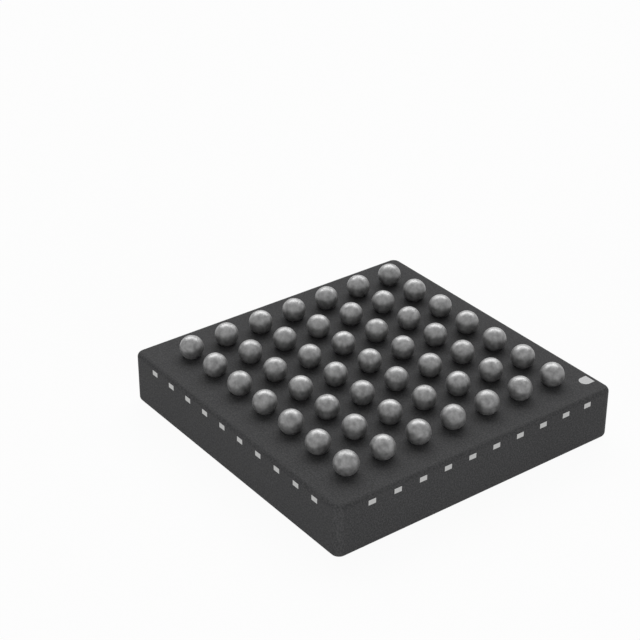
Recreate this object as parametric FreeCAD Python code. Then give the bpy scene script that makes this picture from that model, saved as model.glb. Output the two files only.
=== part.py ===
import FreeCAD, Part
import math
import os

# Ball grid array chip with a seven by seven grid of solder balls, lying on its moulded face.
# The frame's origin is in the middle of the moulded face and +Z goes up to the balls.
# The pin 1 mark and ball A1 are in the corner towards +X and +Y.
# All sizes are in millimetres.

# Driving dimensions
PITCH = 0.5
GRID = 7
BODY_WIDTH = 8 * PITCH
BODY_HEIGHT = 0.67
CORNER_RADIUS = 0.11
RIM_RADIUS = 0.06

# Solder balls, of flat facets
BALL_RADIUS = 0.145
BALL_RISE = 0.11
BALL_SIDES = 12
BALL_BANDS = 5

# Lead frame: a full-thickness land under each ball, and the rest etched away on the ball side
FRAME_THICKNESS = 0.125
ETCH_DEPTH = 0.0625
LAND_RADIUS = 0.09
LAND_SIDES = 6
TRACE_WIDTH = 0.1
PADDLE_WIDTH = 1.3
TIE_ARM_END = 0.6

# Lead tails that reach each side, from the left when that side faces the viewer and the balls are up
TAIL_PITCH = 0.35
FIRST_TAIL = -1.535
LAST_TAIL = 1.6
TAIL_LENGTH = 0.1

# Land that each tail leads to, as its ring and its column, both in pitches from the middle
OUTER_RING = 3
INNER_RING = 2
LEAD_LANDS = (
    (OUTER_RING, -3), (OUTER_RING, -2), (INNER_RING, -1), (OUTER_RING, -1), (INNER_RING, 0),
    (OUTER_RING, 0), (INNER_RING, 1), (OUTER_RING, 1), (INNER_RING, 2), (OUTER_RING, 2),
)
GROUND_LAND = (INNER_RING, 2)

# Straight stretch of an inner lead between two outer lands, half a pitch from each
GAP_OFFSET = 0.5
GAP_ENTRY = 0.05
GAP_EXIT = 0.1

# Die, the film that holds it, and the bonds along each of its edges
ATTACH_WIDTH = 1.14
ATTACH_THICKNESS = 0.02
DIE_WIDTH = 1.1
DIE_THICKNESS = 0.18
PAD_PITCH = 0.09
PAD_INSET = 0.06
WIRE_WIDTH = 0.025
LOOP_HEIGHT = 0.085
BOND_SHIFT = 0.025
WIRE_LANDS = (
    (OUTER_RING, -3), (OUTER_RING, -2), (INNER_RING, -1), (OUTER_RING, -1), (INNER_RING, 0),
    (OUTER_RING, 0), (OUTER_RING, 1), (INNER_RING, 1), (OUTER_RING, 2), (INNER_RING, 2),
)

# Pin 1 mark, flush with the ball face, with its round end towards the balls
MARK_WIDTH = 0.148
MARK_X = 1.705
MARK_Y_LOW = 1.765
MARK_Y_HIGH = 1.92

# Levels that follow from these
HALF_WIDTH = BODY_WIDTH / 2
BALL_FACE_Z = BODY_HEIGHT
ETCHED_Z = BALL_FACE_Z - ETCH_DEPTH
FRAME_Z = BALL_FACE_Z - FRAME_THICKNESS
ATTACH_Z = FRAME_Z - ATTACH_THICKNESS
DIE_Z = ATTACH_Z - DIE_THICKNESS
LOOP_Z = DIE_Z - LOOP_HEIGHT

SIDES = ("front", "right", "back", "left")
UP = FreeCAD.Vector(0, 0, 1)
ORIGIN = FreeCAD.Vector(0, 0, 0)


def save(shape, node):
    """Write one sub-part to its own file."""
    shape.exportStep("parts/" + node + ".step")


def polygon_face(corners):
    """A flat face with these corners."""
    return Part.Face(Part.makePolygon(list(corners) + [corners[0]]))


def ring_of_corners(radius, z, sides):
    """Corners of a level regular polygon about the vertical axis, with a flat side towards +X."""
    turns = [2 * math.pi * (k + 0.5) / sides for k in range(sides)]
    return [FreeCAD.Vector(radius * math.cos(a), radius * math.sin(a), z) for a in turns]


def band_outline(route, width, level_ends=False):
    """Corners of a band of even width along a route in a plane.

    Its ends are square to the route, or, where they are level, cut along the first axis.
    """
    half = width / 2
    normals = []
    for (x0, y0), (x1, y1) in zip(route, route[1:]):
        length = math.hypot(x1 - x0, y1 - y0)
        normals.append(((y0 - y1) / length, (x1 - x0) / length))
    offsets = []
    for before, after in zip(normals[:1] + normals, normals + normals[-1:]):
        scale = half / (1 + before[0] * after[0] + before[1] * after[1])
        offsets.append(((before[0] + after[0]) * scale, (before[1] + after[1]) * scale))
    if level_ends:
        offsets[0] = (half / normals[0][0], 0)
        offsets[-1] = (half / normals[-1][0], 0)
    one_edge = [(x + dx, y + dy) for (x, y), (dx, dy) in zip(route, offsets)]
    other_edge = [(x - dx, y - dy) for (x, y), (dx, dy) in zip(route, offsets)]
    return one_edge + other_edge[::-1]


def slab(width, low_z, high_z):
    """A square plate about the vertical axis."""
    corner = FreeCAD.Vector(-width / 2, -width / 2, low_z)
    return Part.makeBox(width, width, high_z - low_z, corner)


def rounded_block():
    """The outside of the moulded body."""
    block = slab(BODY_WIDTH, 0, BODY_HEIGHT)
    upright = [e for e in block.Edges if e.BoundBox.ZLength > BODY_HEIGHT / 2]
    block = block.makeFillet(CORNER_RADIUS, upright)
    rims = [e for e in block.Edges if e.BoundBox.ZLength < BODY_HEIGHT / 2]
    return block.makeFillet(RIM_RADIUS, rims)


def turned(shape, side):
    """A shape of the front side, turned to the side with this number."""
    copy = shape.copy()
    copy.rotate(ORIGIN, UP, 90 * side)
    return copy


def land_place(land):
    """Where a land of the front side is, as its distance along the side and its depth."""
    ring, column = land
    return column * PITCH, ring * PITCH


def land_column(along, depth):
    """The full-thickness copper under one ball, up to the ball face."""
    corners = ring_of_corners(LAND_RADIUS, FRAME_Z, LAND_SIDES)
    column = polygon_face(corners).extrude(UP * FRAME_THICKNESS)
    return column.translated(FreeCAD.Vector(along, -depth, 0))


def etched_band(route):
    """A half-etched strip of the lead frame along a route of the front side."""
    outline = band_outline(route, TRACE_WIDTH)
    face = polygon_face([FreeCAD.Vector(along, -depth, FRAME_Z) for along, depth in outline])
    return face.extrude(UP * (ETCHED_Z - FRAME_Z))


def tail_place(number):
    """Where a tail of the front side is, along that side."""
    if number == len(LEAD_LANDS) - 1:
        return LAST_TAIL
    return FIRST_TAIL + number * TAIL_PITCH


def lead_route(number):
    """The way of one lead of the front side, from its cut end to its land."""
    ring, column = LEAD_LANDS[number]
    tail = tail_place(number)
    route = [(tail, HALF_WIDTH), (tail, HALF_WIDTH - TAIL_LENGTH)]
    if ring == INNER_RING:
        gap = (column - GAP_OFFSET) * PITCH
        outer_depth = OUTER_RING * PITCH
        route += [(gap, outer_depth + GAP_ENTRY), (gap, outer_depth - GAP_EXIT)]
    return route + [land_place(LEAD_LANDS[number])]


def lead(number):
    """One lead of the front side: its tail, cut flush with the body, its trace and its land."""
    along, depth = land_place(LEAD_LANDS[number])
    trace = etched_band(lead_route(number))
    return trace.fuse(land_column(along, depth)).removeSplitter()


def signal_leads():
    """The nine leads of the front side that end at a land of their own."""
    numbers = [n for n, land in enumerate(LEAD_LANDS) if land != GROUND_LAND]
    return [lead(number) for number in numbers]


def die_paddle():
    """The plate under the die with its nine lands, tied at each corner to a ground lead."""
    along, depth = land_place(GROUND_LAND)
    arm = etched_band([(along, depth), (TIE_ARM_END, TIE_ARM_END)])
    ground_lead = lead(LEAD_LANDS.index(GROUND_LAND)).fuse(arm)
    pieces = [turned(ground_lead, side) for side in range(len(SIDES))]
    steps = (-PITCH, 0, PITCH)
    pieces += [land_column(x, y) for x in steps for y in steps]
    return slab(PADDLE_WIDTH, FRAME_Z, ETCHED_Z).fuse(pieces).removeSplitter()


def shifted_towards(start, goal, most):
    """A coordinate moved towards another by no more than a given length."""
    return start + max(-most, min(most, goal - start))


def bond_wire(number):
    """One wire of the front side, from a pad of the die to the back of a land.

    It leaves the pad upright, turns at the top of its loop and slopes down to the land.
    """
    pad_along = (number - (len(WIRE_LANDS) - 1) / 2) * PAD_PITCH
    pad_depth = DIE_WIDTH / 2 - PAD_INSET
    land_along, land_depth = land_place(WIRE_LANDS[number])
    bond_along = shifted_towards(land_along, pad_along, BOND_SHIFT)
    bond_depth = shifted_towards(land_depth, pad_depth, BOND_SHIFT)
    start = FreeCAD.Vector(pad_along, -pad_depth, 0)
    reach = FreeCAD.Vector(bond_along, -bond_depth, 0) - start
    length = reach.Length
    heading = reach / length
    across = UP.cross(heading) * WIRE_WIDTH
    route = [(0, DIE_Z), (0, LOOP_Z), (length, FRAME_Z)]
    outline = band_outline(route, WIRE_WIDTH, level_ends=True)
    corners = [start - across / 2 + heading * run + UP * z for run, z in outline]
    return polygon_face(corners).extrude(across)


def wires_to(lands):
    """The wires of all four sides that end on these lands."""
    numbers = [n for n, land in enumerate(WIRE_LANDS) if land in lands]
    return [turned(bond_wire(n), side) for side in range(len(SIDES)) for n in numbers]


def solder_ball():
    """One ball on the vertical axis, with a flat foot on the ball face."""
    foot = -math.asin(BALL_RISE / BALL_RADIUS)
    step = (math.pi / 2 - foot) / BALL_BANDS
    centre_z = BALL_FACE_Z + BALL_RISE
    rings = []
    for band in range(BALL_BANDS):
        height = foot + step * band
        level = centre_z + BALL_RADIUS * math.sin(height)
        rings.append(ring_of_corners(BALL_RADIUS * math.cos(height), level, BALL_SIDES))
    tip = UP * (centre_z + BALL_RADIUS)
    faces = [polygon_face(rings[0])]
    for side in range(BALL_SIDES):
        for lower, upper in zip(rings, rings[1:]):
            faces.append(polygon_face([lower[side - 1], lower[side], upper[side], upper[side - 1]]))
        faces.append(polygon_face([rings[-1][side - 1], rings[-1][side], tip]))
    return Part.Solid(Part.Shell(faces))


def pin_1_mark():
    """A small metal tab, straight towards the edge and round towards the balls."""
    half = MARK_WIDTH / 2
    centre_y = MARK_Y_LOW + half
    left = FreeCAD.Vector(MARK_X - half, centre_y, ETCHED_Z)
    right = FreeCAD.Vector(MARK_X + half, centre_y, ETCHED_Z)
    lowest = FreeCAD.Vector(MARK_X, MARK_Y_LOW, ETCHED_Z)
    top_left = FreeCAD.Vector(MARK_X - half, MARK_Y_HIGH, ETCHED_Z)
    top_right = FreeCAD.Vector(MARK_X + half, MARK_Y_HIGH, ETCHED_Z)
    edges = [
        Part.Arc(left, lowest, right).toShape(),
        Part.LineSegment(right, top_right).toShape(),
        Part.LineSegment(top_right, top_left).toShape(),
        Part.LineSegment(top_left, left).toShape(),
    ]
    return Part.Face(Part.Wire(edges)).extrude(UP * ETCH_DEPTH)


def main():
    """Build every sub-part and write it to the parts folder."""
    os.makedirs("parts", exist_ok=True)

    buried = []
    for side, name in enumerate(SIDES):
        leads = [turned(shape, side) for shape in signal_leads()]
        save(Part.makeCompound(leads), "leads_" + name)
        buried += leads

    single_pieces = {
        "die_paddle": die_paddle(),
        "die_attach": slab(ATTACH_WIDTH, ATTACH_Z, FRAME_Z),
        "die": slab(DIE_WIDTH, DIE_Z, ATTACH_Z),
        "pin_1_mark": pin_1_mark(),
    }
    for node, shape in single_pieces.items():
        save(shape, node)
        buried.append(shape)

    ground_wires = wires_to([GROUND_LAND])
    signal_wires = wires_to([land for land in WIRE_LANDS if land != GROUND_LAND])
    save(Part.makeCompound(ground_wires), "ground_wires")
    save(Part.makeCompound(signal_wires), "signal_wires")
    buried += ground_wires + signal_wires

    save(rounded_block().cut(buried), "mould_body")

    ball = solder_ball()
    first_place = (GRID - 1) / 2 * PITCH
    for row in range(GRID):
        for column in range(GRID):
            place = FreeCAD.Vector(first_place - column * PITCH, first_place - row * PITCH, 0)
            save(ball.translated(place), "ball_" + "abcdefg"[row] + str(column + 1))


main()
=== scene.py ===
"""Looks of a ball grid array chip that lies on its moulded face with its solder balls up.

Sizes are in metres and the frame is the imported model's: +Z goes up through the balls, and the pin 1
mark is in the corner towards +X and +Y.
"""

import logging
import math
from dataclasses import dataclass
from enum import Enum
from typing import Any, Iterable

import bmesh
import bpy
from mathutils import Euler, Matrix, Vector


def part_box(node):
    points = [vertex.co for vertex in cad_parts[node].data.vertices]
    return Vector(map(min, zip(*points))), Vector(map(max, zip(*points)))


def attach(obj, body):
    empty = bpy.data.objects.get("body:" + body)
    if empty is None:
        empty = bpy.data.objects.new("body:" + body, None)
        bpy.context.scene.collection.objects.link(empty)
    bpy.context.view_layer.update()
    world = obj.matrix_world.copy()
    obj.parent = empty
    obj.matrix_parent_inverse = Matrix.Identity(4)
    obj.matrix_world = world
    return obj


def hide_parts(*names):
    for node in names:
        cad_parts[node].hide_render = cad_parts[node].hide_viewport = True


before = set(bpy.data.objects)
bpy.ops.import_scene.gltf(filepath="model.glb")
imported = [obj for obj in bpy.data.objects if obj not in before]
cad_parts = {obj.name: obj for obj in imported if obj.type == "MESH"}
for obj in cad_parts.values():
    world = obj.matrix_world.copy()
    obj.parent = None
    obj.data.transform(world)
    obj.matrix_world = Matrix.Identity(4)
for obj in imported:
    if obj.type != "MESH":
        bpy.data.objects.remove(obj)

LOG = logging.getLogger("chip")
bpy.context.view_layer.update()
BODY = "root"
MM = 0.001
MICRON = 0.000001

# Vertices that are nearer to each other than this are welded.
WELD = MICRON / 10

# A vertex that is nearer to a cut than this lies in it.
CUT_MARGIN = MICRON / 100

# Two faces that meet at a larger angle than this have a sharp edge between them.
SHARP_EDGE = math.radians(40.0)

# A face belongs to a side where the cosine between its normal and the side's is larger than this.
SAME_WAY = 0.7

# Sockets that share their names with others are told apart by number.
FIRST_COLOUR = 6
SECOND_COLOUR = 7
MIXED_COLOUR = 2
FIRST_SHADER = 1
SECOND_SHADER = 2

WHITE = (1.0, 1.0, 1.0, 1.0)

Triple = tuple[float, float, float]
Stops = tuple[tuple[float, float], ...]
Geometry = list[bmesh.types.BMVert | bmesh.types.BMEdge | bmesh.types.BMFace]


class Slot(Enum):
    """Names of the record's material slots, which nothing in the script reads."""

    MOULD = "mould_compound"
    SOLDER = "solder"
    INDEX = "index_metal"


class Side(Enum):
    """The four sides of the body, each with its turn from the front in quarter turns."""

    FRONT = 0
    RIGHT = 1
    BACK = 2
    LEFT = 3


class Socket:
    """A value in a shader, on which Python's operators add Math nodes."""

    def __init__(self, graph: "Graph", end: bpy.types.NodeSocket | None) -> None:
        """Wrap an output socket.

        Args:
            graph: The shader that the socket is in.
            end: The output socket itself, or None behind a node that has no output.
        """
        self.graph = graph
        self.end = end

    def _math(self, operation: str, *values: "Socket | float") -> "Socket":
        """Add one Math node.

        Args:
            operation: The node's operation.
            values: Its inputs, in order.

        Returns:
            The node's result.
        """
        return self.graph.add("ShaderNodeMath", {"operation": operation}, dict(enumerate(values)))

    def __add__(self, other: "Socket | float") -> "Socket":
        """Sum of two values."""
        return self._math("ADD", self, other)

    def __sub__(self, other: "Socket | float") -> "Socket":
        """This value less another."""
        return self._math("SUBTRACT", self, other)

    def __rsub__(self, other: float) -> "Socket":
        """A number less this value."""
        return self._math("SUBTRACT", other, self)

    def __mul__(self, other: "Socket | float") -> "Socket":
        """Product of two values."""
        return self._math("MULTIPLY", self, other)

    __radd__ = __add__
    __rmul__ = __mul__

    def largest(self, other: "Socket | float") -> "Socket":
        """The larger of two values."""
        return self._math("MAXIMUM", self, other)


class Graph:
    """The node tree of one material or of the world."""

    def __init__(self, tree: bpy.types.NodeTree) -> None:
        """Empty a node tree and start on it.

        Args:
            tree: The tree to fill.
        """
        self.tree = tree
        tree.nodes.clear()

    def add(
        self,
        kind: str,
        settings: dict[str, Any] | None = None,
        inputs: dict[str | int, Any] | None = None,
        output: str | int = 0,
    ) -> Socket:
        """Add a node, with its settings first and then the values or links of its sockets.

        Args:
            kind: The node's type.
            settings: Attributes of the node; stops are the places and colours of a ramp.
            inputs: Values or links by the name or number of the socket.
            output: The socket to return.

        Returns:
            One output of the node, or an empty one where the node ends the tree.
        """
        node = self.tree.nodes.new(kind)
        for key, value in (settings or {}).items():
            if key == "stops":
                self._fill_ramp(node.color_ramp, value)
            else:
                setattr(node, key, value)
        for key, value in (inputs or {}).items():
            if isinstance(value, Socket):
                self.tree.links.new(value.end, node.inputs[key])
            else:
                node.inputs[key].default_value = value
        return Socket(self, node.outputs[output] if len(node.outputs) else None)

    @staticmethod
    def _fill_ramp(ramp: bpy.types.ColorRamp, stops: Stops) -> None:
        """Give a ramp its stops.

        Args:
            ramp: The ramp of a Color Ramp node.
            stops: Place and grey level of each stop, from the left.
        """
        for number, (place, level) in enumerate(stops):
            stop = ramp.elements[number] if number < 2 else ramp.elements.new(place)
            stop.position = place
            stop.color = (level, level, level, 1.0)

    def noise(self, size: float, detail: float = 2.0, stretch: Triple | None = None) -> Socket:
        """Noise on the object's own coordinates.

        Args:
            size: Width of one blotch in metres.
            detail: Octaves of finer noise.
            stretch: How much finer the noise is along each axis.

        Returns:
            A value about 0.5.
        """
        place = self.add("ShaderNodeTexCoord", output="Object")
        if stretch is not None:
            place = self.add("ShaderNodeMapping", inputs={"Vector": place, "Scale": stretch})
        return self.add(
            "ShaderNodeTexNoise", inputs={"Vector": place, "Scale": 1.0 / size, "Detail": detail}
        )

    def ramp(self, value: Socket, stops: Stops) -> Socket:
        """A value passed through a grey ramp.

        Args:
            value: The value.
            stops: Place and grey level of each stop, from the left.

        Returns:
            The ramp's level there.
        """
        return self.add("ShaderNodeValToRGB", {"stops": stops}, {"Fac": value})

    def mix(self, factor: Socket, first: Triple, second: Triple) -> Socket:
        """A colour between two others.

        Args:
            factor: 0 for the first and 1 for the second.
            first: The first colour.
            second: The second colour.

        Returns:
            The mixed colour.
        """
        return self.add(
            "ShaderNodeMix",
            {"data_type": "RGBA"},
            {"Factor": factor, FIRST_COLOUR: (*first, 1.0), SECOND_COLOUR: (*second, 1.0)},
            output=MIXED_COLOUR,
        )

    def bump(self, height: Socket, depth: float) -> Socket:
        """A bumped normal.

        Args:
            height: The height, from 0 to 1.
            depth: How much a height of 1 stands up, in metres.

        Returns:
            The normal.
        """
        return self.add("ShaderNodeBump", inputs={"Height": height, "Distance": depth})

    def seen_directly(self) -> Socket:
        """Tell what is seen from what lights the object.

        Returns:
            1 for what the camera, a reflection or clear glass sees, and 0 for light on the object.
        """
        rays = [
            self.add("ShaderNodeLightPath", output=name)
            for name in ("Is Camera Ray", "Is Glossy Ray", "Is Transmission Ray")
        ]
        return rays[0].largest(rays[1]).largest(rays[2])


@dataclass(frozen=True)
class Finish:
    """A finish of one part of the chip.

    Attributes:
        name: The material's name.
        dark: Darkest colour of the surface.
        light: Lightest colour of the surface.
    """

    name: str
    dark: Triple
    light: Triple

    def material(self) -> bpy.types.Material:
        """Make the finish's material, or return the one that is there.

        Returns:
            The material.
        """
        made = bpy.data.materials.get(self.name)
        if made is None:
            made = bpy.data.materials.new(self.name)
            made.use_nodes = True
            graph = Graph(made.node_tree)
            shader = graph.add("ShaderNodeBsdfPrincipled", inputs=self.surface(graph))
            graph.add("ShaderNodeOutputMaterial", inputs={"Surface": shader})
        return made

    def surface(self, graph: Graph) -> dict[str | int, Any]:
        """Work out the shader's inputs.

        Args:
            graph: The material's node tree.

        Returns:
            Values or links by the name of the shader's socket.
        """
        raise NotImplementedError


@dataclass(frozen=True)
class MouldingCompound(Finish):
    """Charcoal epoxy full of silica grains, matte from the mould.

    Attributes:
        grain: Width of a silica grain.
        cloud: Width of the slow changes of shade.
        relief: Height of the grains.
        specks: Ramp that picks the pale grains out of the ground.
        speck_share: Share of the shade that the grains give; the clouds give the rest.
        roughness: Least roughness.
        cloud_roughness: How much rougher the palest clouds are.
        sheen: Specular level, which is low because the grains scatter the light.
    """

    grain: float = 18 * MICRON
    cloud: float = 700 * MICRON
    relief: float = 1.2 * MICRON
    specks: Stops = ((0.35, 0.0), (0.75, 1.0))
    speck_share: float = 0.7
    roughness: float = 0.56
    cloud_roughness: float = 0.14
    sheen: float = 0.06

    def surface(self, graph: Graph) -> dict[str | int, Any]:
        """Set fine pale grains in a dark ground, with slow changes of shade.

        Args:
            graph: The material's node tree.

        Returns:
            Values or links by the name of the shader's socket.
        """
        grains = graph.noise(self.grain, detail=1.0)
        clouds = graph.noise(self.cloud, detail=3.0)
        specks = graph.ramp(grains, self.specks)
        shade = specks * self.speck_share + clouds * (1 - self.speck_share)
        return {
            "Base Color": graph.mix(shade, self.dark, self.light),
            "Roughness": self.roughness + self.cloud_roughness * clouds,
            "Specular IOR Level": self.sheen,
            "Normal": graph.bump(grains, self.relief),
        }


@dataclass(frozen=True)
class ReflowedSolder(Finish):
    """Tin alloy that froze in a ball, satin with a faint frosting of crystals.

    Attributes:
        crystal: Width of a crystal.
        mottle: Width of the blotches of shade.
        relief: Height of the crystals.
        blotches: Ramp that parts the brighter metal from the duller.
        metallic: How metallic the skin of oxide leaves the metal under it.
        roughness: Least roughness.
        blotch_roughness: How much rougher the brightest blotches are.
        crystal_roughness: How much rougher the highest crystals are.
        least_coat: Share of the bright skin on the dullest blotches.
        coat_roughness: Roughness of the bright skin.
        coat_ior: Refraction of the bright skin, high because it stands for metal.
    """

    crystal: float = 16 * MICRON
    mottle: float = 60 * MICRON
    relief: float = 1.0 * MICRON
    blotches: Stops = ((0.3, 0.0), (0.7, 1.0))
    metallic: float = 0.3
    roughness: float = 0.6
    blotch_roughness: float = 0.1
    crystal_roughness: float = 0.06
    least_coat: float = 0.62
    coat_roughness: float = 0.38
    coat_ior: float = 2.3

    def surface(self, graph: Graph) -> dict[str | int, Any]:
        """Set blotches of brighter and duller metal under a fine frosting.

        Args:
            graph: The material's node tree.

        Returns:
            Values or links by the name of the shader's socket.
        """
        crystals = graph.noise(self.crystal, detail=2.0)
        blotches = graph.noise(self.mottle, detail=3.0)
        shade = graph.ramp(blotches, self.blotches)
        frosted = self.roughness + self.blotch_roughness * blotches
        return {
            "Base Color": graph.mix(shade, self.dark, self.light),
            "Metallic": self.metallic,
            "Roughness": frosted + self.crystal_roughness * crystals,
            "Coat Weight": self.least_coat + (1 - self.least_coat) * shade,
            "Coat Roughness": self.coat_roughness,
            "Coat IOR": self.coat_ior,
            "Normal": graph.bump(crystals, self.relief),
        }


@dataclass(frozen=True)
class ShearedPlating(Finish):
    """Plated copper, cut through with the body, so that it has fine upright scratches.

    Attributes:
        scratch: Width of a scratch.
        upright: How much finer the scratches are along each axis than that width.
        relief: Depth of the scratches.
        roughness: Least roughness.
        scratch_roughness: How much rougher the palest scratches are.
    """

    scratch: float = 8 * MICRON
    upright: Triple = (1.0, 1.0, 0.15)
    relief: float = 0.8 * MICRON
    roughness: float = 0.36
    scratch_roughness: float = 0.14

    def surface(self, graph: Graph) -> dict[str | int, Any]:
        """Set upright scratches, a little darker than the metal between them.

        Args:
            graph: The material's node tree.

        Returns:
            Values or links by the name of the shader's socket.
        """
        scratches = graph.noise(self.scratch, detail=2.0, stretch=self.upright)
        return {
            "Base Color": graph.mix(scratches, self.dark, self.light),
            "Metallic": 1.0,
            "Roughness": self.roughness + self.scratch_roughness * scratches,
            "Normal": graph.bump(scratches, self.relief),
        }


@dataclass(frozen=True)
class PlainSurface(Finish):
    """An even surface with a fine grain, as of plating, film, silicon or gold.

    Attributes:
        metallic: 1 for a metal and 0 for anything else.
        roughness: Mean roughness.
        grain_roughness: How much the roughness changes from grain to grain.
        grain: Width of a grain.
        relief: Height of the grain.
    """

    metallic: float = 1.0
    roughness: float = 0.4
    grain_roughness: float = 0.1
    grain: float = 18 * MICRON
    relief: float = 0.5 * MICRON

    def surface(self, graph: Graph) -> dict[str | int, Any]:
        """Set a fine grain of shade, gloss and height.

        Args:
            graph: The material's node tree.

        Returns:
            Values or links by the name of the shader's socket.
        """
        grains = graph.noise(self.grain, detail=2.0)
        least = self.roughness - self.grain_roughness / 2
        return {
            "Base Color": graph.mix(grains, self.dark, self.light),
            "Metallic": self.metallic,
            "Roughness": least + self.grain_roughness * grains,
            "Normal": graph.bump(grains, self.relief),
        }


COMPOUND = MouldingCompound("charcoal_compound", (0.027, 0.027, 0.028), (0.064, 0.064, 0.065))
SOLDER = ReflowedSolder("reflowed_solder", (0.06, 0.06, 0.06), (0.15, 0.15, 0.15))
SHEARED = ShearedPlating("sheared_plating", (0.39, 0.39, 0.39), (0.54, 0.54, 0.53))
INDEX_PLATING = PlainSurface("index_plating", (0.3, 0.3, 0.3), (0.39, 0.39, 0.39), 0.3, 0.65)
GOLD = PlainSurface("gold_wire", (0.8, 0.58, 0.22), (0.9, 0.68, 0.3), roughness=0.25)
SILICON = PlainSurface("polished_silicon", (0.1, 0.1, 0.13), (0.14, 0.14, 0.17), 0.6, 0.15)
EPOXY = PlainSurface("silver_epoxy", (0.45, 0.45, 0.45), (0.6, 0.6, 0.6), 0.3, 0.5)


def all_geometry(mesh: bmesh.types.BMesh) -> Geometry:
    """Every vertex, edge and face of a bmesh."""
    return mesh.verts[:] + mesh.edges[:] + mesh.faces[:]


def only(kind: type, parts: Iterable[Any]) -> Geometry:
    """Those parts of an operator's result that are of one kind."""
    return [part for part in parts if isinstance(part, kind)]


def rise(edge: bmesh.types.BMEdge) -> float:
    """How much higher one end of an edge is than the other."""
    return abs(edge.verts[0].co.z - edge.verts[1].co.z)


def make_object(
    name: str, mesh: bmesh.types.BMesh, material: bpy.types.Material
) -> bpy.types.Object:
    """Turn a bmesh into an object of the scene.

    Args:
        name: The object's name.
        mesh: The bmesh, which is freed.
        material: What covers the object.

    Returns:
        The new object, at the origin with its place in its mesh.
    """
    data = bpy.data.meshes.new(name)
    mesh.to_mesh(data)
    mesh.free()
    data.materials.append(material)
    made = bpy.data.objects.new(name, data)
    bpy.context.scene.collection.objects.link(made)
    return made


def finish_mesh(name: str, mesh: bmesh.types.BMesh, finish: Finish) -> bpy.types.Object:
    """Turn a bmesh into an object that has its finish and rides on the body.

    Args:
        name: The piece's name.
        mesh: The bmesh, which is freed.
        finish: What the piece is finished with.

    Returns:
        The piece.
    """
    piece = make_object(name, mesh, finish.material())
    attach(piece, BODY)
    return piece


@dataclass(frozen=True)
class TailRow:
    """Where the cut ends of the leads come out of one side, from the left of someone who faces it.

    Attributes:
        first: Place of the first tail along the side.
        step: Distance from each tail to the next.
        last: Place of the last tail.
        count: How many tails there are.
        width: Width of a tail.
    """

    first: float = -1.535 * MM
    step: float = 0.35 * MM
    last: float = 1.6 * MM
    count: int = 10
    width: float = 0.1 * MM

    def windows(self) -> list[tuple[float, float]]:
        """Where each tail starts and ends along the side.

        Returns:
            A start and an end for each tail.
        """
        places = [self.first + self.step * number for number in range(self.count - 1)] + [self.last]
        return [(place - self.width / 2, place + self.width / 2) for place in places]


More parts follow.
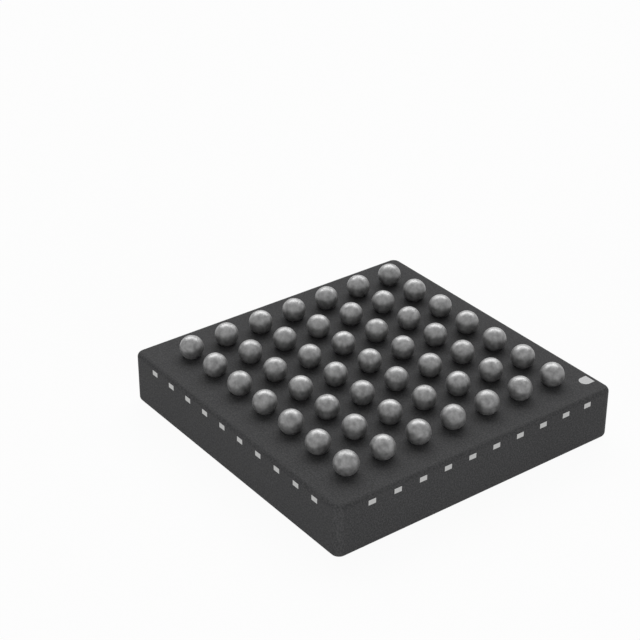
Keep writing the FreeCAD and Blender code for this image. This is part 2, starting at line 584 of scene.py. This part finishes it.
@dataclass
class MouldedBody:
    """The moulded body: a block with rounded corners and rims, with a pocket round each tail.

    Attributes:
        corner_radius: Radius of the upright corners.
        rim_radius: Radius of the upper and lower rims.
        corner_segments: Faces round an upright corner.
        rim_segments: Faces across a rim.
        pocket: Depth of the pocket that a tail lies in.
        tails: Where the tails come out.
    """

    corner_radius: float = 0.11 * MM
    rim_radius: float = 0.06 * MM
    corner_segments: int = 16
    rim_segments: int = 10
    pocket: float = 0.03 * MM
    tails: TailRow = TailRow()

    def block(self) -> bmesh.types.BMesh:
        """Make the rounded block.

        Returns:
            The block, as large as the node that it stands for.
        """
        low, high = (Vector(corner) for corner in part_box("mould_body"))
        size = high - low
        mesh = bmesh.new()
        place = Matrix.Translation((low + high) / 2) @ Matrix.Diagonal((*size, 1.0))
        bmesh.ops.create_cube(mesh, size=1.0, matrix=place)
        upright = [edge for edge in mesh.edges if rise(edge) > size.z / 2]
        self._round(mesh, upright, self.corner_radius, self.corner_segments)
        level = [edge for edge in mesh.edges if rise(edge) < size.z / 2]
        self._round(mesh, level, self.rim_radius, self.rim_segments)
        return mesh

    @staticmethod
    def _round(mesh: bmesh.types.BMesh, edges: Geometry, radius: float, segments: int) -> None:
        """Round some edges.

        Args:
            mesh: The bmesh that they are in.
            edges: The edges.
            radius: Radius of the rounding.
            segments: Faces across it.
        """
        bmesh.ops.bevel(
            mesh, geom=edges, offset=radius, segments=segments, profile=0.5, affect="EDGES", material=-1
        )

    @staticmethod
    def _band(
        mesh: bmesh.types.BMesh, outward: Vector, low_z: float, high_z: float
    ) -> list[bmesh.types.BMFace]:
        """Find the faces of one side that lie between two levels.

        Args:
            mesh: The body.
            outward: The way that the side faces.
            low_z: The lower level.
            high_z: The upper level.

        Returns:
            The faces.
        """
        return [
            face
            for face in mesh.faces
            if face.normal.dot(outward) > SAME_WAY and low_z < face.calc_center_median().z < high_z
        ]

    def cut_pockets(self, mesh: bmesh.types.BMesh, side: Side, low_z: float, high_z: float) -> None:
        """Sink the pockets of one side.

        Args:
            mesh: The body.
            side: The side.
            low_z: Lower level of the tails.
            high_z: Upper level of the tails.
        """
        turn = Matrix.Rotation(math.radians(90.0 * side.value), 3, "Z")
        along = turn @ Vector((1.0, 0.0, 0.0))
        outward = turn @ Vector((0.0, -1.0, 0.0))
        # Dictionaries keep their order, so that every run cuts alike.
        for window in self.tails.windows():
            for end in window:
                band = self._band(mesh, outward, low_z, high_z)
                corners = dict.fromkeys(vert for face in band for vert in face.verts)
                edges = dict.fromkeys(edge for face in band for edge in face.edges)
                bmesh.ops.bisect_plane(
                    mesh, geom=[*corners, *edges, *band], plane_co=along * end, plane_no=along
                )
        mouths = [
            face
            for face in self._band(mesh, outward, low_z, high_z)
            for start, end in self.tails.windows()
            if start < face.calc_center_median().dot(along) < end
        ]
        rims = dict.fromkeys(edge for face in mouths for edge in face.edges)
        corners = dict.fromkeys(vert for face in mouths for vert in face.verts)
        sunk = bmesh.ops.extrude_face_region(mesh, geom=[*mouths, *rims, *corners])
        floor = only(bmesh.types.BMVert, sunk["geom"])
        bmesh.ops.translate(mesh, vec=outward * -self.pocket, verts=floor)

    def build(self) -> bpy.types.Object:
        """Make the body.

        Returns:
            The body.
        """
        mesh = self.block()
        # The mark is as thick as the etch is deep, so its foot is level with the tops of the tails.
        low_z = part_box("leads_front")[0][2]
        high_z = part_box("pin_1_mark")[0][2]
        for level in (low_z, high_z):
            bmesh.ops.bisect_plane(
                mesh, geom=all_geometry(mesh), plane_co=(0.0, 0.0, level), plane_no=(0.0, 0.0, 1.0)
            )
        for side in Side:
            self.cut_pockets(mesh, side, low_z, high_z)
        bmesh.ops.recalc_face_normals(mesh, faces=mesh.faces)
        for face in mesh.faces:
            face.smooth = True
        for edge in mesh.edges:
            edge.smooth = edge.calc_face_angle() < SHARP_EDGE
        piece = finish_mesh("compound_block", mesh, COMPOUND)
        piece.modifiers.new("weighted_normals", "WEIGHTED_NORMAL").keep_sharp = True
        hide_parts("mould_body")
        LOG.info("compound_block has %d pockets", self.tails.count * len(Side))
        return piece


@dataclass
class IndexMark:
    """The pin 1 mark: a thin plated tab, straight towards the edge and round towards the balls.

    Attributes:
        proud: How far the plating stands up from the ball face.
        segments: Straight edges round the disc that it starts from.
    """

    proud: float = 1.5 * MICRON
    segments: int = 48

    def build(self) -> bpy.types.Object:
        """Make the mark from a disc that is stretched on one side.

        Returns:
            The mark.
        """
        low, high = (Vector(corner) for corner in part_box("pin_1_mark"))
        radius = (high.x - low.x) / 2
        centre = Vector((low.x + radius, low.y + radius, low.z))
        mesh = bmesh.new()
        bmesh.ops.create_circle(
            mesh, cap_ends=True, radius=radius, segments=self.segments, matrix=Matrix.Translation(centre)
        )
        for vert in mesh.verts:
            if vert.co.y > centre.y:
                vert.co.y = high.y
                vert.co.x = centre.x + math.copysign(radius, vert.co.x - centre.x)
        bmesh.ops.remove_doubles(mesh, verts=mesh.verts, dist=WELD)
        raised = bmesh.ops.extrude_face_region(mesh, geom=mesh.faces[:])
        top = only(bmesh.types.BMVert, raised["geom"])
        bmesh.ops.translate(mesh, vec=(0.0, 0.0, high.z - low.z + self.proud), verts=top)
        bmesh.ops.recalc_face_normals(mesh, faces=mesh.faces)
        piece = finish_mesh("plated_index_mark", mesh, INDEX_PLATING)
        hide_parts("pin_1_mark")
        LOG.info("plated_index_mark stands %.1f microns proud", self.proud / MICRON)
        return piece


@dataclass
class SolderBalls:
    """The grid of solder balls, each a sphere cut off flat where it sits on its land.

    Attributes:
        radius: Radius of a ball.
        segments: Faces round a ball.
        rings: Faces from one pole to the other.
    """

    radius: float = 0.145 * MM
    segments: int = 48
    rings: int = 32

    def ball(self, node: str) -> bpy.types.Object:
        """Make the ball that stands for one node.

        Args:
            node: The node's name.

        Returns:
            The ball.
        """
        low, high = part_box(node)
        centre = Vector(((low[0] + high[0]) / 2, (low[1] + high[1]) / 2, high[2] - self.radius))
        mesh = bmesh.new()
        bmesh.ops.create_uvsphere(
            mesh, u_segments=self.segments, v_segments=self.rings, radius=self.radius
        )
        bmesh.ops.translate(mesh, vec=centre, verts=mesh.verts)
        cut = bmesh.ops.bisect_plane(
            mesh,
            geom=all_geometry(mesh),
            dist=CUT_MARGIN,
            plane_co=(0.0, 0.0, low[2]),
            plane_no=(0.0, 0.0, -1.0),
            clear_outer=True,
        )
        for face in mesh.faces:
            face.smooth = True
        rim = only(bmesh.types.BMEdge, cut["geom_cut"])
        foot = bmesh.ops.contextual_create(mesh, geom=rim)["faces"]
        for face in foot:
            face.smooth = False
        bmesh.ops.recalc_face_normals(mesh, faces=mesh.faces)
        piece = finish_mesh("solder_" + node, mesh, SOLDER)
        LOG.info("%s has %d faces", piece.name, len(piece.data.polygons))
        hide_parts(node)
        return piece

    def build(self) -> int:
        """Make every ball.

        Returns:
            How many balls there are.
        """
        nodes = sorted(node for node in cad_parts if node.startswith("ball_"))
        for node in nodes:
            self.ball(node)
        return len(nodes)


@dataclass
class CarriedNodes:
    """The nodes whose shape is right as it is.

    Attributes:
        finishes: Each node with its finish.
    """

    finishes: tuple[tuple[str, Finish], ...] = (
        ("die", SILICON),
        ("die_attach", EPOXY),
        ("die_paddle", SHEARED),
        ("signal_wires", GOLD),
        ("ground_wires", GOLD),
        *(("leads_" + side.name.lower(), SHEARED) for side in Side),
    )

    @staticmethod
    def _dress(node: str, finish: Finish) -> None:
        """Give a node its finish.

        Args:
            node: The node's name.
            finish: What it is finished with.
        """
        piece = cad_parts[node]
        piece.data.materials.clear()
        piece.data.materials.append(finish.material())
        LOG.info("%s is finished in %s", node, finish.name)

    def build(self) -> None:
        """Dress every carried-over node."""
        for node, finish in self.finishes:
            self._dress(node, finish)


@dataclass(frozen=True)
class Lamp:
    """A soft oblong lamp that shines at the object.

    Attributes:
        name: The lamp's name.
        place: Where it stands.
        width: Length of its level edges.
        height: Length of its other edges.
        power: Its power in watts.
        reflected: Whether the object's gloss shows it.
    """

    name: str
    place: Triple
    width: float
    height: float
    power: float
    reflected: bool = True

    def build(self) -> None:
        """Set the lamp up."""
        data = bpy.data.lights.new(self.name, "AREA")
        data.shape = "RECTANGLE"
        data.size = self.width
        data.size_y = self.height
        data.energy = self.power
        lamp = bpy.data.objects.new(self.name, data)
        place = Vector(self.place)
        turn = place.to_track_quat("Z", "Y").to_matrix().to_4x4()
        lamp.matrix_world = Matrix.Translation(place) @ turn
        lamp.visible_camera = False
        lamp.visible_glossy = self.reflected
        bpy.context.scene.collection.objects.link(lamp)


# The two fill lamps light the sides but stay out of the balls, which show one bright band.
BACK_LAMP = Lamp("back_lamp", (-0.82, 0.66, 1.07), width=2.4, height=0.9, power=30.0)
RIGHT_FILL = Lamp("right_lamp", (1.38, -0.12, 0.2), 0.8, 0.25, power=12.6, reflected=False)
LEFT_FILL = Lamp("left_lamp", (0.12, -1.38, 0.2), 0.8, 0.25, power=10.5, reflected=False)


@dataclass
class Studio:
    """A pale floor under plain soft lamps, and a white surround.

    Attributes:
        floor_radius: Radius of the round floor.
        floor_segments: Straight edges round the floor.
        floor_colour: Grey level of the floor.
        veil: Share of plain white in the floor where it is seen directly.
        ambient: Strength of the light from all round.
        lamps: The lamps.
    """

    floor_radius: float = 1.0
    floor_segments: int = 64
    floor_colour: float = 0.6
    veil: float = 0.95
    ambient: float = 0.16
    lamps: tuple[Lamp, ...] = (BACK_LAMP, RIGHT_FILL, LEFT_FILL)

    def pale_floor(self) -> bpy.types.Material:
        """Make the floor's material: matte grey under a veil of white that only the viewer sees.

        Returns:
            The material.
        """
        material = bpy.data.materials.new("pale_floor")
        material.use_nodes = True
        graph = Graph(material.node_tree)
        level = self.floor_colour
        matte = graph.add("ShaderNodeBsdfDiffuse", inputs={"Color": (level, level, level, 1.0)})
        white = graph.add("ShaderNodeEmission", inputs={"Strength": 1.0})
        veil = graph.seen_directly() * self.veil
        veiled = graph.add(
            "ShaderNodeMixShader", inputs={"Fac": veil, FIRST_SHADER: matte, SECOND_SHADER: white}
        )
        graph.add("ShaderNodeOutputMaterial", inputs={"Surface": veiled})
        return material

    def floor(self) -> None:
        """Make the floor, which keeps the object's shadow."""
        mesh = bmesh.new()
        bmesh.ops.create_circle(
            mesh, cap_ends=True, radius=self.floor_radius, segments=self.floor_segments
        )
        floor = make_object("floor", mesh, self.pale_floor())

    def surround(self) -> None:
        """Make the world: white where it is seen, and a soft light on the object."""
        world = bpy.data.worlds.new("surround")
        world.use_nodes = True
        graph = Graph(world.node_tree)
        seen = graph.seen_directly()
        strength = seen + (1 - seen) * self.ambient
        light = graph.add("ShaderNodeBackground", inputs={"Color": WHITE, "Strength": strength})
        graph.add("ShaderNodeOutputWorld", inputs={"Surface": light})
        bpy.context.scene.world = world

    def build(self) -> None:
        """Set up the floor, the surround and the lamps."""
        self.floor()
        self.surround()
        for lamp in self.lamps:
            lamp.build()


@dataclass
class Viewpoint:
    """The camera, where the photograph was taken from.

    Attributes:
        place: Where the camera stands, in millimetres.
        azimuth: Turn of the view about the vertical, in degrees.
        elevation: Height of the view above the horizon, in degrees.
        roll: Turn of the picture, in degrees.
        lens: Focal length in millimetres.
        sensor: Width of the sensor in millimetres.
        nearest: Distance from which on things show.
        farthest: Distance up to which they show.
    """

    place: Triple = (13.856, -11.123, 11.569)
    azimuth: float = 53.12
    elevation: float = 29.97
    roll: float = 0.09
    lens: float = 99.9
    sensor: float = 36.0
    nearest: float = 1 * MM
    farthest: float = 10.0

    def build(self) -> None:
        """Make the camera and look through it."""
        data = bpy.data.cameras.new("camera")
        data.sensor_width = self.sensor
        data.lens = self.lens
        data.clip_start = self.nearest
        data.clip_end = self.farthest
        camera = bpy.data.objects.new("camera", data)
        tilt = Euler((math.radians(90.0 - self.elevation), 0.0, math.radians(self.azimuth)))
        turn = tilt.to_matrix() @ Matrix.Rotation(math.radians(self.roll), 3, "Z")
        camera.matrix_world = Matrix.Translation(Vector(self.place) * MM) @ turn.to_4x4()
        bpy.context.scene.collection.objects.link(camera)
        bpy.context.scene.camera = camera


def main() -> None:
    """Build the chip's pieces, the studio and the camera."""
    logging.basicConfig(level=logging.INFO, format="%(message)s")
    bpy.context.scene.view_settings.view_transform = "Standard"
    CarriedNodes().build()
    MouldedBody().build()
    IndexMark().build()
    LOG.info("%d solder balls", SolderBalls().build())
    Studio().build()
    Viewpoint().build()


if __name__ == "__main__":
    main()
